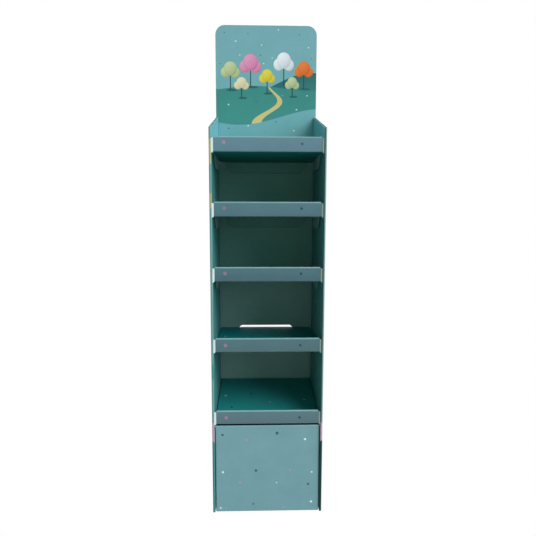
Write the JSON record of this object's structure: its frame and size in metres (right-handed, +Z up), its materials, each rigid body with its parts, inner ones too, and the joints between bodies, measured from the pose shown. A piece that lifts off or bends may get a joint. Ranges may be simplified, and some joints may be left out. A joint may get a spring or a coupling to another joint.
{
  "type": "cardboard display stand",
  "caption": "Tall floor-standing cardboard display: folded double-wall shell, hooked-in shelf trays with raised lips, a sloped lowest shelf, a base box and a rounded header card.",
  "frame": {"origin": "on the floor below the middle of the stand's footprint", "axes": "+Z up, +Y from the open front to the back, +X to the right of someone who faces the front"},
  "size_m": [0.4, 0.32, 1.831],
  "materials": {
    "printed_shell_board": "matt printed corrugated board, white liner on the unprinted side",
    "printed_header_board": "matt printed corrugated board, white liner on the back",
    "printed_tray_board": "matt printed corrugated board, white liner on the inside of the fold",
    "printed_base_board": "matt printed corrugated board, white liner inside"
  },
  "bodies": {
    "root": {"outer_shell": "printed_shell_board", "header_card": "printed_header_board", "shelf_1": "printed_tray_board", "shelf_2": "printed_tray_board", "shelf_3": "printed_tray_board", "shelf_4": "printed_tray_board", "shelf_5": "printed_tray_board", "base_box": "printed_base_board"}
  },
  "joints": []
}
